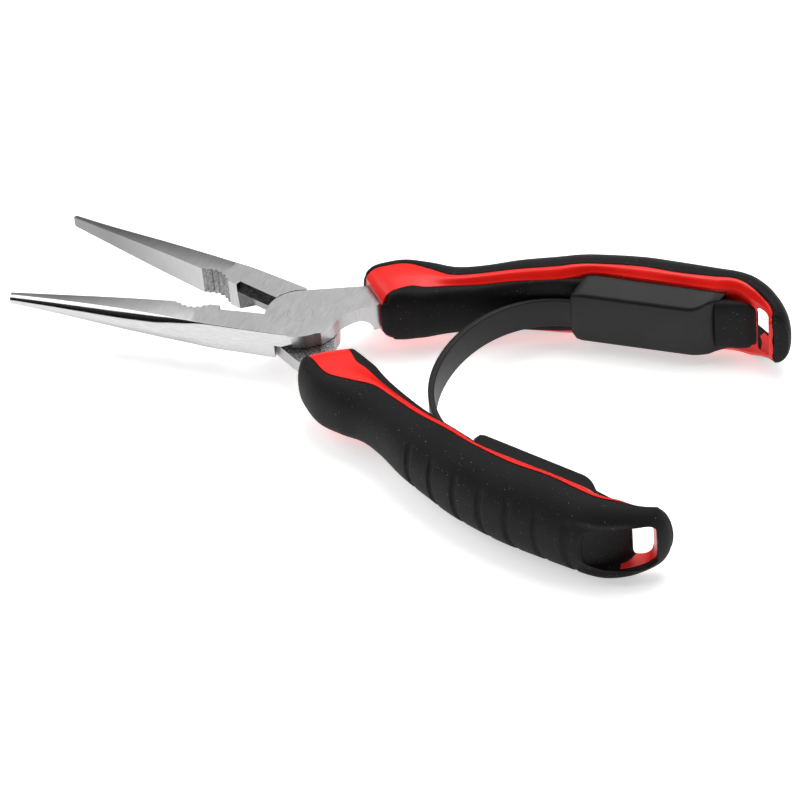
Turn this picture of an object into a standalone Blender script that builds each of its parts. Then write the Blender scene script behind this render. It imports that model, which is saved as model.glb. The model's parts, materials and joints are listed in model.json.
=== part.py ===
"""Needle nose pliers with two moulded handles and a U-shaped return leaf.

Sizes are in millimetres and become metres where a mesh is made. The tool is drawn closed, then each half
turns about the pivot to the open pose. X runs from the jaws to the handles, Z is the pivot axis, and the
origin is where that axis meets the joint's lower face. The half called far has its handle at +Y and its
lap on top; the half called near has its handle at -Y and its lap below.
"""

import math

import bmesh
import bpy
from mathutils import Vector

MM = 0.001
GAP = 0.3                # between neighbouring pieces that touch on the real tool
FAR = 1                  # handle at +Y, jaw at -Y, lap on top
NEAR = -1                # handle at -Y, jaw at +Y, lap below
SIDES = {"far": FAR, "near": NEAR}

# Joint
JOINT_HALF = 3.95        # half the joint's thickness
OPEN_TURN = 12.25        # degrees that each half turns from closed to the open pose
LAP_RADIUS = 9.0
LAP_CLEARANCE = 0.05     # each lap stops this far from the mid plane
SEAT_RADIUS = 9.25       # round seat that clears the other half's lap
STEP_X = -4.9            # where the jaw's back wall clears the other half's shank
ARCH_X = 13.2            # centre of the arch under the shank
ARCH_RADIUS = 4.0
RIVET_RADIUS = 3.2
RIVET_CLEARANCE = 0.06
ROUND_STEPS = 48         # facets round a full circle

# Jaw
JAW_STATIONS = (         # distance from the pivot, width of the milled flat, full width, half height
    (77.0, 0.35, 2.0, 1.45),
    (67.0, 0.5, 3.2, 2.10),
    (57.0, 0.9, 4.6, 2.75),
    (47.0, 2.3, 6.0, 3.35),
    (37.0, 4.5, 7.1, 3.85),
    (33.0, 5.4, 7.3, 3.95),
    (28.0, 6.5, 7.6, 3.95),
    (22.0, 7.5, 7.9, 3.95),
    (12.0, 8.2, 8.5, 3.95),
    (0.0, 8.9, 9.1, 3.95),
)
JAW_BACK_STEPS = 5       # facets from the milled flat to the widest point
GRIP_START = 32.6        # the pipe grip's ends, as distances from the pivot
GRIP_END = 23.8
GRIP_DEPTH = 1.9
GRIP_TEETH = 6
TOOTH_DEPTH = 0.5
CUTTER_START = 21.0
CUTTER_EDGE_Z = 1.5      # height of the cutting edge above the mid plane
CUTTER_EDGE_DEPTH = 0.05 # how far the cutting edge stops short of the closing line
CUTTER_RELIEF_TOP = 1.5
CUTTER_RELIEF_BOTTOM = 3.1
CUTTER_RUN_OUT = 3.2     # length of the slanted wall that ends the deep bevel

# Shank and tang in plan: the edge nearer the outside of the tool, then the inner edge on the way back
SHANK_OUTER = ((-1.1, 9.0), (14.0, 12.9), (20.0, 15.3), (35.0, 18.0), (60.0, 23.2), (84.0, 24.6))
SHANK_INNER = ((84.0, 21.6), (60.0, 19.8), (35.0, 14.6), (26.0, 11.8), (21.5, 9.3), (19.0, 6.5),
               (15.3, 4.3), (12.9, 2.6), (10.4, -0.3), (9.2, -3.6), (7.0, -6.6))

# Handle: each station is its outermost point, the turn of its inward direction from -Y towards -X,
# the depth and height of the red band's outer edge, the same for its inner edge, and the full depth.
STATIONS = (
    (12.4, 15.4, -38.0, 2.5, 6.2, 12.6, 5.4, 13.6),
    (13.1, 17.2, -38.0, 3.2, 7.6, 13.2, 7.2, 15.4),
    (15.1, 19.4, -36.0, 4.3, 8.4, 13.9, 8.0, 16.8),
    (21.6, 22.5, -22.0, 4.9, 8.5, 13.4, 8.0, 17.6),
    (28.8, 23.2, -8.0, 6.5, 8.5, 12.7, 7.6, 16.4),
    (36.0, 22.8, 0.0, 7.6, 8.5, 10.6, 7.3, 13.8),
    (43.0, 24.2, 0.0, 7.8, 8.8, 10.4, 7.2, 13.0),
    (52.0, 27.3, 0.0, 8.9, 9.6, 11.5, 7.8, 13.4),
    (62.0, 29.4, 0.0, 9.6, 10.6, 12.2, 8.4, 13.4),
    (66.5, 30.2, 0.0, 9.5, 11.1, 10.8, 9.6, 14.0),
    (72.0, 30.8, 0.0, 9.4, 11.3, 11.2, 9.8, 14.4),
    (83.0, 31.2, 0.0, 9.5, 11.5, 12.3, 9.9, 18.0),
    (93.0, 30.5, 0.0, 9.9, 11.6, 12.2, 9.9, 18.0),
    (102.0, 29.3, 3.0, 8.8, 11.5, 11.6, 9.8, 17.3),
    (108.0, 28.2, 12.0, 7.9, 11.6, 10.2, 9.7, 16.6),
    (113.0, 26.3, 29.0, 7.6, 11.5, 9.6, 9.6, 14.6),
    (117.6, 22.4, 48.0, 6.8, 11.0, 8.6, 9.4, 9.6),
    (120.7, 17.9, 66.0, 5.4, 10.1, 6.8, 9.0, 8.0),
    (122.1, 14.2, 80.0, 4.5, 9.3, 5.7, 8.6, 7.0),
    (121.9, 11.2, 92.0, 4.0, 8.2, 5.1, 7.8, 6.4),
)
STATION_STEPS = 2        # loft rings from one station to the next
GRIP_WALL = 2.0          # thickness of the outer grip
GRIP_STEPS = 8           # facets from the outermost line to the red band
GRIP_POWER = 0.87        # below 1 the section is fuller than an ellipse
PAD_ROUND = 3.2          # rounding of the inner pad's long edges
PAD_STEPS = 3
PAD_END = 66.2
BLOCK_START = 104.0
BLOCK_END = 113.4
BLOCK_HALF = 7.3
BLOCK_INNER_Y = 13.9

# Window through each handle's end: a scoop ramps down from the outer side and comes out on the
# inner one. Each row is a point outside the grip, the scoop's floor below it, and its half height
SCOOP = (
    ((104.6, 32.0), (104.8, 29.8), 2.6),
    ((107.0, 31.5), (106.8, 26.8), 4.8),
    ((111.0, 30.5), (109.6, 23.4), 5.8),
    ((115.5, 27.5), (111.9, 20.2), 6.0),
    ((117.5, 26.0), (112.9, 18.2), 6.0),
    ((118.5, 25.0), (113.3, 16.5), 6.0),
    ((119.5, 24.0), (113.4, 12.6), 6.0),
)
WINDOW_REAR = ((123.5, 19.7), (115.9, 12.1))    # the window's rear wall, outside and inside
WINDOW_HALF = 6.0
WINDOW_CORNER = 2.4

# Spring clip
CLIP_START = 66.5
CLIP_END = 103.6
CLIP_SLOPE = -0.057      # change of Y along X of the clip's inner face, closed
CLIP_FACE_Y = 13.5       # its inner face at CLIP_START
CLIP_FACE_HALF = 7.4
CLIP_FLAP_DEPTH = 5.7    # from the inner face out to the flap's edge
CLIP_FLAP_HALF = 9.4
CLIP_WALL = 0.9
CLIP_BACK_WALL = 1.6

# Return leaf
LEAF_HALF = 4.3
LEAF_APEX_X = 39.4
LEAF_APEX_THICKNESS = 1.8
LEAF_END_THICKNESS = 1.1
LEAF_TAIL_X = 96.0       # where the leaf ends inside the clip, closed
LEAF_HANDLES = (11.0, 17.0)
LEAF_STEPS = 14


def clear_scene():
    for item in list(bpy.data.objects):
        bpy.data.objects.remove(item)


def collection_named(name):
    group = bpy.data.collections.new(name)
    bpy.context.scene.collection.children.link(group)
    return group


def material_named(name, colour, roughness, metallic=0.0):
    material = bpy.data.materials.new(name)
    material.use_nodes = True
    shader = material.node_tree.nodes["Principled BSDF"]
    shader.inputs["Base Color"].default_value = (*colour, 1.0)
    shader.inputs["Roughness"].default_value = roughness
    shader.inputs["Metallic"].default_value = metallic
    return material


def turned(point, degrees):
    """A plan point turned about the pivot."""
    angle = math.radians(degrees)
    x, y = point
    return (x * math.cos(angle) - y * math.sin(angle), x * math.sin(angle) + y * math.cos(angle))


def arc(centre, radius, start, end, steps):
    """Plan points along an arc, both ends included; the angles are in degrees."""
    points = []
    for step in range(steps + 1):
        angle = math.radians(start + (end - start) * step / steps)
        points.append((centre[0] + radius * math.cos(angle), centre[1] + radius * math.sin(angle)))
    return points


def smooth_rows(rows, steps):
    """Rows of numbers on a Catmull-Rom curve through the given rows."""
    result = []
    for index in range(len(rows) - 1):
        before = rows[max(index - 1, 0)]
        start = rows[index]
        end = rows[index + 1]
        after = rows[min(index + 2, len(rows) - 1)]
        for step in range(steps):
            t = step / steps
            row = []
            for p0, p1, p2, p3 in zip(before, start, end, after):
                curve = 2 * p1 + (p2 - p0) * t + (2 * p0 - 5 * p1 + 4 * p2 - p3) * t * t
                curve += (3 * p1 - p0 - 3 * p2 + p3) * t * t * t
                row.append(curve / 2)
            result.append(tuple(row))
    result.append(tuple(rows[-1]))
    return result


def add_object(name, mesh, group, material=None):
    item = bpy.data.objects.new(name, mesh)
    group.objects.link(item)
    if material:
        mesh.materials.append(material)
        mesh.shade_smooth()
        mesh.set_sharp_from_angle(angle=math.radians(35))
    return item


def loft(name, rings, group, material=None):
    """A closed solid through rings of points, each in millimetres, with a flat cap at each end."""
    shape = bmesh.new()
    rows = []
    for ring in rings:
        rows.append([shape.verts.new(Vector(point) * MM) for point in ring])
    count = len(rings[0])
    for low, high in zip(rows, rows[1:]):
        for index in range(count):
            after = (index + 1) % count
            shape.faces.new((low[index], low[after], high[after], high[index]))
    shape.faces.new(reversed(rows[0]))
    shape.faces.new(rows[-1])
    bmesh.ops.recalc_face_normals(shape, faces=shape.faces)
    mesh = bpy.data.meshes.new(name)
    shape.to_mesh(mesh)
    shape.free()
    return add_object(name, mesh, group, material)


def plate(name, outline, low, high, group, material=None):
    """A flat outline in plan, solid from one height to another."""
    curve = bpy.data.curves.new(name, "CURVE")
    curve.dimensions = "2D"
    curve.fill_mode = "BOTH"
    curve.extrude = (high - low) / 2 * MM
    spline = curve.splines.new("POLY")
    spline.points.add(len(outline) - 1)
    for point, (x, y) in zip(spline.points, outline):
        point.co = (x * MM, y * MM, 0.0, 1.0)
    spline.use_cyclic_u = True
    drawn = bpy.data.objects.new(name, curve)
    bpy.context.scene.collection.objects.link(drawn)
    graph = bpy.context.evaluated_depsgraph_get()
    mesh = bpy.data.meshes.new_from_object(drawn.evaluated_get(graph))
    bpy.data.objects.remove(drawn)
    shape = bmesh.new()
    shape.from_mesh(mesh)
    bmesh.ops.remove_doubles(shape, verts=shape.verts, dist=1e-7)
    bmesh.ops.translate(shape, verts=shape.verts, vec=(0.0, 0.0, (low + high) / 2 * MM))
    bmesh.ops.recalc_face_normals(shape, faces=shape.faces)
    shape.to_mesh(mesh)
    shape.free()
    mesh.name = name
    return add_object(name, mesh, group, material)


def as_cutter(item):
    item.hide_render = True
    item.display_type = "WIRE"
    return item


def combine(target, tool, operation="DIFFERENCE"):
    modifier = target.modifiers.new(f"{operation.lower()}_{tool.name}", "BOOLEAN")
    modifier.operation = operation
    modifier.solver = "EXACT"
    modifier.object = as_cutter(tool)


# Steel halves

def jaw_ring(station, side):
    """The jaw's section: a flat gripping face, milled flats above and below, and a round back."""
    reach, flat, width, half = station
    section = [(0.0, -half), (0.0, half)]
    for step in range(2 * JAW_BACK_STEPS + 1):
        angle = math.pi / 2 - math.pi / 2 * step / JAW_BACK_STEPS
        section.append((flat + (width - flat) * math.cos(angle), half * math.sin(angle)))
    return [(-reach, -side * away, height) for away, height in section]


def jaw_blank(name, side, group, material):
    return loft(name, [jaw_ring(station, side) for station in JAW_STATIONS], group, material)


def grip_outline(side):
    """The toothed hollow of the pipe grip, with a strip beyond the gripping line to cut through it."""
    half_chord = (GRIP_START - GRIP_END) / 2
    radius = (half_chord ** 2 + GRIP_DEPTH ** 2) / (2 * GRIP_DEPTH)
    middle = (GRIP_START + GRIP_END) / 2
    spread = math.asin(half_chord / radius)
    points = []
    for step in range(2 * GRIP_TEETH + 1):
        angle = -spread + 2 * spread * step / (2 * GRIP_TEETH)
        depth = radius * math.cos(angle) - (radius - GRIP_DEPTH)
        if step % 2 == 0 and 0 < step < 2 * GRIP_TEETH:
            depth -= TOOTH_DEPTH
        points.append((-(middle - radius * math.sin(angle)), -side * depth))
    points.append((-GRIP_END, side))
    points.append((-GRIP_START, side))
    return points


def cutter_rings(side):
    """Rings of the space in front of the cutting edge, from the notch to the lap."""
    beyond = -1.0
    over = 0.5
    rings = []
    for reach, bottom in (
        (CUTTER_START, -0.4),
        (CUTTER_START - CUTTER_RUN_OUT, CUTTER_RELIEF_BOTTOM),
        (0.0, CUTTER_RELIEF_BOTTOM),
    ):
        slope_up = (CUTTER_RELIEF_TOP - CUTTER_EDGE_DEPTH) / (JOINT_HALF - CUTTER_EDGE_Z)
        slope_down = (bottom - CUTTER_EDGE_DEPTH) / (JOINT_HALF + CUTTER_EDGE_Z)
        section = (
            (beyond, JOINT_HALF + over),
            (CUTTER_RELIEF_TOP + slope_up * over, JOINT_HALF + over),
            (CUTTER_EDGE_DEPTH, CUTTER_EDGE_Z),
            (bottom + slope_down * over, -JOINT_HALF - over),
            (beyond, -JOINT_HALF - over),
        )
        rings.append([(-reach, -side * away, height) for away, height in section])
    return rings


def shank_outline(side):
    """Lap disc, shank and tang in one plan outline."""
    start = math.degrees(math.atan2(SHANK_OUTER[0][1], SHANK_OUTER[0][0]))
    last = math.degrees(math.atan2(SHANK_INNER[-1][1], SHANK_INNER[-1][0]))
    disc = arc((0.0, 0.0), LAP_RADIUS, last - 8.0, start - 360.0 + 2.0, ROUND_STEPS // 2)
    points = list(SHANK_OUTER) + list(SHANK_INNER) + disc
    return [(x, side * y) for x, y in points]


def under_lap_rings(side):
    """The space that the other half's lap and shank sweep, below this half's lap and shank."""
    reach = 25.0
    top = LAP_CLEARANCE
    profile = [(STEP_X, -JOINT_HALF - 1.0), (STEP_X, top)]
    profile += [(x, z - JOINT_HALF + top) for x, z in arc((ARCH_X, 0.0), ARCH_RADIUS, 90.0, 0.0, 6)]
    profile.append((ARCH_X + ARCH_RADIUS, -JOINT_HALF - 1.0))
    return [[(x, y, side * z) for x, z in profile] for y in (-reach, reach)]


def disc(name, radius, low, high, group, material=None):
    return plate(name, arc((0.0, 0.0), radius, 0.0, 360.0 - 360.0 / ROUND_STEPS, ROUND_STEPS - 1),
                 low, high, group, material)


def steel_half(label, side, parts, tools, material):
    """One forging: jaw, lap, shank and tang."""
    half = jaw_blank(f"{label}_half", side, parts, material)
    space = loft(f"{label}_cutter_space", cutter_rings(side), tools)
    combine(half, space)
    combine(half, plate(f"{label}_pipe_grip", grip_outline(side), -9.0, 9.0, tools))
    shank = plate(f"{label}_shank", shank_outline(side), -JOINT_HALF, JOINT_HALF, tools)
    combine(half, shank, "UNION")
    combine(half, loft(f"{label}_under_lap", under_lap_rings(side), tools))
    low, high = sorted((-side * (JOINT_HALF + 1.0), side * LAP_CLEARANCE))
    combine(half, disc(f"{label}_seat", SEAT_RADIUS, low, high, tools))
    combine(half, disc(f"{label}_rivet_hole", RIVET_RADIUS + RIVET_CLEARANCE, -9.0, 9.0, tools))
    return half


# Handles

def handle_rings(section_of, side, first=None, last=None):
    """Rings along the handle; section_of gives (depth, height) points for one station row."""
    rows = smooth_rows(STATIONS, STATION_STEPS)
    rings = []
    for row in rows:
        if first is not None and row[0] < first:
            continue
        if last is not None and row[0] > last:
            continue
        angle = math.radians(row[2])
        inward = (-math.sin(angle), -math.cos(angle))
        ring = []
        for depth, height in section_of(row):
            ring.append((row[0] + depth * inward[0], side * (row[1] + depth * inward[1]), height))
        rings.append(ring)
    return rings


def quarter_rounds(depth, half, start_depth):
    """Points from the upper edge round the outermost line to the lower edge, on a superellipse."""
    points = []
    for step in range(2 * GRIP_STEPS + 1):
        angle = math.pi / 2 - math.pi / 2 * step / GRIP_STEPS
        across = max(math.cos(angle), 0.0) ** GRIP_POWER
        along = math.copysign(abs(math.sin(angle)) ** GRIP_POWER, math.sin(angle))
        points.append((start_depth + depth * (1 - across), half * along))
    return points


def grip_section(row):
    edge, edge_half = row[3], row[4]
    outer = quarter_rounds(edge, edge_half, 0.0)
    inner = quarter_rounds(edge - GRIP_WALL, edge_half - GRIP_WALL, GRIP_WALL)
    return outer + inner[::-1]


def core_section(row):
    edge, edge_half, seat, seat_half = row[3], row[4], row[5], row[6]
    wall = GRIP_WALL + GAP
    back = quarter_rounds(edge - wall, edge_half - wall, wall)
    crest = edge + GAP
    upper = [(seat, seat_half), (crest, edge_half), (crest, edge_half - wall)]
    lower = [(crest, wall - edge_half), (crest, -edge_half), (seat, -seat_half)]
    return upper + back + lower


def pad_section(row):
    seat, seat_half, face = row[5] + GAP, row[6], row[7]
    round_depth = min(PAD_ROUND, (face - seat) * 0.9)
    points = [(seat, -seat_half), (seat, seat_half)]
    for step in range(PAD_STEPS + 1):
        angle = math.pi / 2 * step / PAD_STEPS
        points.append((face - round_depth * (1 - math.sin(angle)),
                       seat_half - PAD_ROUND * (1 - math.cos(angle)) - 0.01))
    lower = [(depth, -height) for depth, height in points[:1:-1]]
    return points + lower


def window_rows():
    """The scoop's rows and, behind them, the window's rounded rear corners."""
    rows = [(Vector(outer), Vector(floor), half) for outer, floor, half in SCOOP]
    last_outer, last_floor, _ = rows[-1]
    rear_outer, rear_floor = (Vector(point) for point in WINDOW_REAR)
    length = (rear_floor - last_floor).length
    for step in range(4):
        angle = math.pi / 2 * step / 3
        share = 1 - min(WINDOW_CORNER / length, 0.95) * (1 - math.sin(angle))
        half = WINDOW_HALF - WINDOW_CORNER * (1 - math.cos(angle))
        rows.append((last_outer.lerp(rear_outer, share), last_floor.lerp(rear_floor, share), half))
    return rows


def window_rings(side):
    rings = []
    for outer, floor, half in window_rows():
        section = ((outer, half), (floor, half), (floor, -half), (outer, -half))
        rings.append([(point.x, side * point.y, height) for point, height in section])
    return rings


def tang_pocket(label, side, tools):
    """The shank's outline grown by the gap, from the handle's front to the tang's end."""
    outer = [(x, y + GAP) for x, y in SHANK_OUTER[1:]]
    inner = [(x, y - GAP) for x, y in SHANK_INNER[:6]]
    outer[-1] = (outer[-1][0] + GAP, outer[-1][1])
    inner[0] = (inner[0][0] + GAP, inner[0][1])
    front = [(5.0, 0.0), (5.0, 10.8)]
    points = [(x, side * y) for x, y in outer + inner + front]
    half = JOINT_HALF + GAP
    return plate(f"{label}_tang_pocket", points, -half, half, tools)


def handle_core(label, side, parts, tools, material):
    core = loft(f"{label}_handle_core", handle_rings(core_section, side), parts, material)
    combine(core, tang_pocket(label, side, tools))
    combine(core, loft(f"{label}_core_window", window_rings(side), tools))
    return core


def outer_grip(label, side, parts, tools, material):
    grip = loft(f"{label}_outer_grip", handle_rings(grip_section, side), parts, material)
    combine(grip, loft(f"{label}_grip_window", window_rings(side), tools))
    return grip


def inner_pad(label, side, parts, material):
    return loft(f"{label}_inner_pad", handle_rings(pad_section, side, last=PAD_END), parts, material)


def stop_block(label, side, parts, material):
    """The soft block between the clip and the window."""
    rows = (
        (BLOCK_START, 17.2, BLOCK_HALF),
        (BLOCK_START + 4.0, 17.2, BLOCK_HALF),
        (BLOCK_END - 1.8, 16.0, BLOCK_HALF - 0.6),
        (BLOCK_END, 15.4, BLOCK_HALF - 1.8),
    )
    rings = []
    for x, outer_y, half in rows:
        inner_y = BLOCK_INNER_Y
        corner = 1.2
        section = (
            (outer_y, -half), (outer_y, half),
            (inner_y + corner, half), (inner_y, half - corner),
            (inner_y, corner - half), (inner_y + corner, -half),
        )
        rings.append([(x, side * y, z) for y, z in section])
    return loft(f"{label}_stop_block", rings, parts, material)


# Return spring

def clip_face(x):
    return CLIP_FACE_Y + CLIP_SLOPE * (x - CLIP_START)


def clip_ring(x, inset, side, face_half, flap_half):
    face = clip_face(x) + inset
    flap = clip_face(x) + CLIP_FLAP_DEPTH
    section = (
        (flap, flap_half - inset), (face, face_half - inset),
        (face, inset - face_half), (flap, inset - flap_half),
    )
    return [(x, side * y, z) for y, z in section]


def spring_clip(label, side, parts, tools, material):
    """A hollow cap over the rail, open at the front and towards the core."""
    shape = (
        (CLIP_START, CLIP_FACE_HALF - 0.9, CLIP_FLAP_HALF - 1.0),
        (CLIP_START + 1.8, CLIP_FACE_HALF, CLIP_FLAP_HALF),
        (CLIP_END - 4.0, CLIP_FACE_HALF, CLIP_FLAP_HALF),
        (CLIP_END, CLIP_FACE_HALF - 1.4, CLIP_FLAP_HALF - 1.3),
    )
    rings = [clip_ring(x, 0.0, side, face, flap) for x, face, flap in shape]
    clip = loft(f"{label}_spring_clip", rings, parts, material)
    hollow = []
    for x in (CLIP_START - 1.0, CLIP_END - CLIP_BACK_WALL):
        ring = clip_ring(x, CLIP_WALL, side, CLIP_FACE_HALF - 0.9, CLIP_FLAP_HALF - 1.0)
        deeper = [(px, py + side * (1.0 if index in (0, 3) else 0.0), pz)
                  for index, (px, py, pz) in enumerate(ring)]
        hollow.append(deeper)
    combine(clip, loft(f"{label}_clip_hollow", hollow, tools))
    return clip


def leaf_line():
    """Half of the leaf's centre line, from its tail in the far clip to the apex, in the open pose."""
    recess = CLIP_WALL + GAP + LEAF_END_THICKNESS / 2
    tail = turned((LEAF_TAIL_X, clip_face(LEAF_TAIL_X) + recess), OPEN_TURN)
    mouth = turned((CLIP_START, clip_face(CLIP_START) + recess), OPEN_TURN)
    heading = Vector(mouth) - Vector(tail)
    heading.normalize()
    apex = Vector((LEAF_APEX_X + LEAF_APEX_THICKNESS / 2, 0.0))
    control_a = Vector(mouth) + heading * LEAF_HANDLES[0]
    control_b = apex + Vector((0.0, LEAF_HANDLES[1]))
    points = [(Vector(tail), LEAF_END_THICKNESS)]
    for step in range(LEAF_STEPS + 1):
        t = step / LEAF_STEPS
        s = 1 - t
        place = Vector(mouth) * s ** 3 + control_a * 3 * s * s * t + control_b * 3 * s * t * t + apex * t ** 3
        thickness = LEAF_END_THICKNESS + (LEAF_APEX_THICKNESS - LEAF_END_THICKNESS) * t * t * (3 - 2 * t)
        points.append((place, thickness))
    return points


def return_leaf(parts, material):
    half = leaf_line()
    line = half + [(Vector((place.x, -place.y)), thickness) for place, thickness in half[-2::-1]]
    left = []
    right = []
    for index, (place, thickness) in enumerate(line):
        before = line[max(index - 1, 0)][0]
        after = line[min(index + 1, len(line) - 1)][0]
        direction = (after - before).normalized()
        across = Vector((-direction.y, direction.x)) * thickness / 2
        left.append(tuple(place + across))
        right.append(tuple(place - across))
    return plate("return_leaf", left + right[::-1], -LEAF_HALF, LEAF_HALF, parts, material)


def main():
    clear_scene()
    parts = collection_named("needle_nose_pliers")
    tools = collection_named("cutters")
    steel = material_named("steel", (0.62, 0.62, 0.63), 0.32, 1.0)
    rivet_steel = material_named("rivet_steel", (0.55, 0.55, 0.56), 0.35, 1.0)
    red = material_named("red_plastic", (0.80, 0.02, 0.015), 0.38)
    soft = material_named("soft_black", (0.025, 0.027, 0.027), 0.75)
    satin = material_named("satin_black", (0.028, 0.028, 0.03), 0.5)

    frames = {}
    for label, side in SIDES.items():
        frame = bpy.data.objects.new(f"{label}_frame", None)
        frame.location = (0.0, 0.0, JOINT_HALF * MM)
        frame.rotation_euler = (0.0, 0.0, math.radians(side * OPEN_TURN))
        parts.objects.link(frame)
        frames[label] = frame

    for label, side in SIDES.items():
        pieces = [
            steel_half(label, side, parts, tools, steel),
            handle_core(label, side, parts, tools, red),
            outer_grip(label, side, parts, tools, soft),
            inner_pad(label, side, parts, soft),
            stop_block(label, side, parts, soft),
            spring_clip(label, side, parts, tools, satin),
        ]
        for piece in pieces:
            piece.parent = frames[label]
            for modifier in piece.modifiers:
                modifier.object.parent = frames[label]

    rivet = disc("pivot_rivet", RIVET_RADIUS, -JOINT_HALF, JOINT_HALF, parts, rivet_steel)
    rivet.parent = frames["far"]
    leaf = return_leaf(parts, satin)
    leaf.location = (0.0, 0.0, JOINT_HALF * MM)


main()
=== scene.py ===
"""Looks of the needle nose pliers: fine steel halves, moulded handles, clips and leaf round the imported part.

Sizes are in millimetres and become metres where a mesh is made. As in the part's own script, each half is
drawn closed, with its handle at +Y times its side, and is then turned about the pivot to the open pose.
"""

import json
import math

import bmesh
import bpy
from mathutils import Matrix, Vector

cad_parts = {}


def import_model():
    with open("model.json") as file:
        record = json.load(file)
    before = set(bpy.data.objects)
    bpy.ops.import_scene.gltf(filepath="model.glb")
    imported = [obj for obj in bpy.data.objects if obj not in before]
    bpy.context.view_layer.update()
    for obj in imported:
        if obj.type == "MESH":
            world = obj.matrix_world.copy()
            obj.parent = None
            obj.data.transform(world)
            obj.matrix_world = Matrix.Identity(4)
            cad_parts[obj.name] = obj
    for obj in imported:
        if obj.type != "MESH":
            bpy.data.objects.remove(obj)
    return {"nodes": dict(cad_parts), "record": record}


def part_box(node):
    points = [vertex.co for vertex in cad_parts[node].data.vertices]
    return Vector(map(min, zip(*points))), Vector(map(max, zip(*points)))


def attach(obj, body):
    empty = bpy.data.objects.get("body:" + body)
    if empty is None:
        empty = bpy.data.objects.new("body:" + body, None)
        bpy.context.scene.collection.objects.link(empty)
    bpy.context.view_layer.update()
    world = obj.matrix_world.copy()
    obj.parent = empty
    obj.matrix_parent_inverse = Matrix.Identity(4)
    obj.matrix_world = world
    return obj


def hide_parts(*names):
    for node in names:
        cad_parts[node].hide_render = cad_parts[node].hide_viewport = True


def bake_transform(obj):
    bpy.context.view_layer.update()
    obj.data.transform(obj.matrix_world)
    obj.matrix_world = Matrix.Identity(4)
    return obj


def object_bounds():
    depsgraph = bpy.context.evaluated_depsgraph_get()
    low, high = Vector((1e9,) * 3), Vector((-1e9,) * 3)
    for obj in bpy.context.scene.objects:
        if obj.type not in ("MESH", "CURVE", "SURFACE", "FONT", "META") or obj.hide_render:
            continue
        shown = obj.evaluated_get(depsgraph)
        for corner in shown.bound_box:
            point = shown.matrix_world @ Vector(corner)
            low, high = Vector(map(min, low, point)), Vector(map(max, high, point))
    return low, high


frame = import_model()
cad_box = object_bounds()

MM = 0.001
SIDES = {"far": 1, "near": -1}

# Taken from the frame
JOINT_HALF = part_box("pivot_rivet")[1][2] / MM / 2
MOUNTS = {mount["name"]: mount for mount in frame["record"]["mounts"]}
OPEN_TURN = -math.degrees(math.asin(MOUNTS["far_jaw_face"]["axis"][0]))
FLOOR_Z = cad_box[0][2]
LEAF_APEX_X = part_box("return_leaf")[0][0] / MM
LEAF_HALF = (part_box("return_leaf")[1][2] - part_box("return_leaf")[0][2]) / MM / 2

# Joint
LAP_RADIUS = 9.0
LAP_CLEARANCE = 0.05     # each lap stops this far from the mid plane
SEAT_RADIUS = 9.25       # round seat that clears the other half's lap
STEP_X = -4.9            # where the jaw's back wall clears the other half's shank
ARCH_X = 13.2            # centre of the arch under the shank
ARCH_RADIUS = 4.0
RIVET_HOLE = 3.21        # radius of the hole round the rivet
THROUGH = 9.0            # half height of a tool that cuts right through the joint
BEYOND = 1.0             # how far other cutting tools reach past the surface

# Jaw: distance from the pivot, width of the milled flat, full width, half height
JAW_STATIONS = (
    (77.0, 0.85, 2.0, 1.45),
    (67.0, 1.65, 3.2, 2.10),
    (57.0, 2.75, 4.6, 2.75),
    (47.0, 3.95, 6.0, 3.35),
    (37.0, 5.2, 7.1, 3.78),
    (33.0, 5.8, 7.3, 3.88),
    (28.0, 6.5, 7.6, 3.94),
    (22.0, 7.5, 7.9, 3.95),
    (12.0, 8.2, 8.5, 3.95),
    (0.0, 8.9, 9.1, 3.95),
)
JAW_STEPS = 5            # rings from one station to the next
JAW_BACK_STEPS = 14      # facets from the milled flat to the widest point
JAW_BACK_SLOPE = 72.0    # how steeply the back leaves the milled flats, in degrees
GRIP_START = 32.6        # the pipe grip's ends, as distances from the pivot
GRIP_END = 23.8
GRIP_DEPTH = 1.9
GRIP_TEETH = 6
TOOTH_DEPTH = 0.6
CUTTER_START = 21.0
CUTTER_START_DEPTH = -0.4    # below 0, so that the slanted wall starts outside the jaw
CUTTER_EDGE_Z = 1.5      # height of the cutting edge above the mid plane
CUTTER_EDGE_DEPTH = 0.05 # how far the cutting edge stops short of the closing line
CUTTER_RELIEF_TOP = 1.5
CUTTER_RELIEF_BOTTOM = 3.1
CUTTER_RUN_OUT = 3.2     # length of the slanted wall that ends the deep bevel

# Shank and tang in plan: the edge nearer the outside of the tool, then the inner edge on the way back
SHANK_OUTER = ((-1.1, 9.0), (14.0, 12.9), (20.0, 15.3), (35.0, 18.0), (60.0, 23.2), (84.0, 24.6))
SHANK_INNER = ((84.0, 21.6), (60.0, 19.8), (35.0, 14.6), (26.0, 11.8), (21.5, 9.3), (19.0, 6.5),
               (15.3, 4.3), (12.9, 2.6), (10.4, -0.3), (9.2, -3.6), (7.0, -6.6))
TANG_POINTS = 3          # the inner edge's straight points; the rest is a smooth neck
NECK_STEPS = 5
CORE_TANG_POINTS = 6     # the inner edge's points inside the core
TANG_GAP = 0.3           # between the tang and the core
TANG_FRONT = ((5.0, 0.0), (5.0, 10.8))    # closes the tang's space ahead of the core

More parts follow.
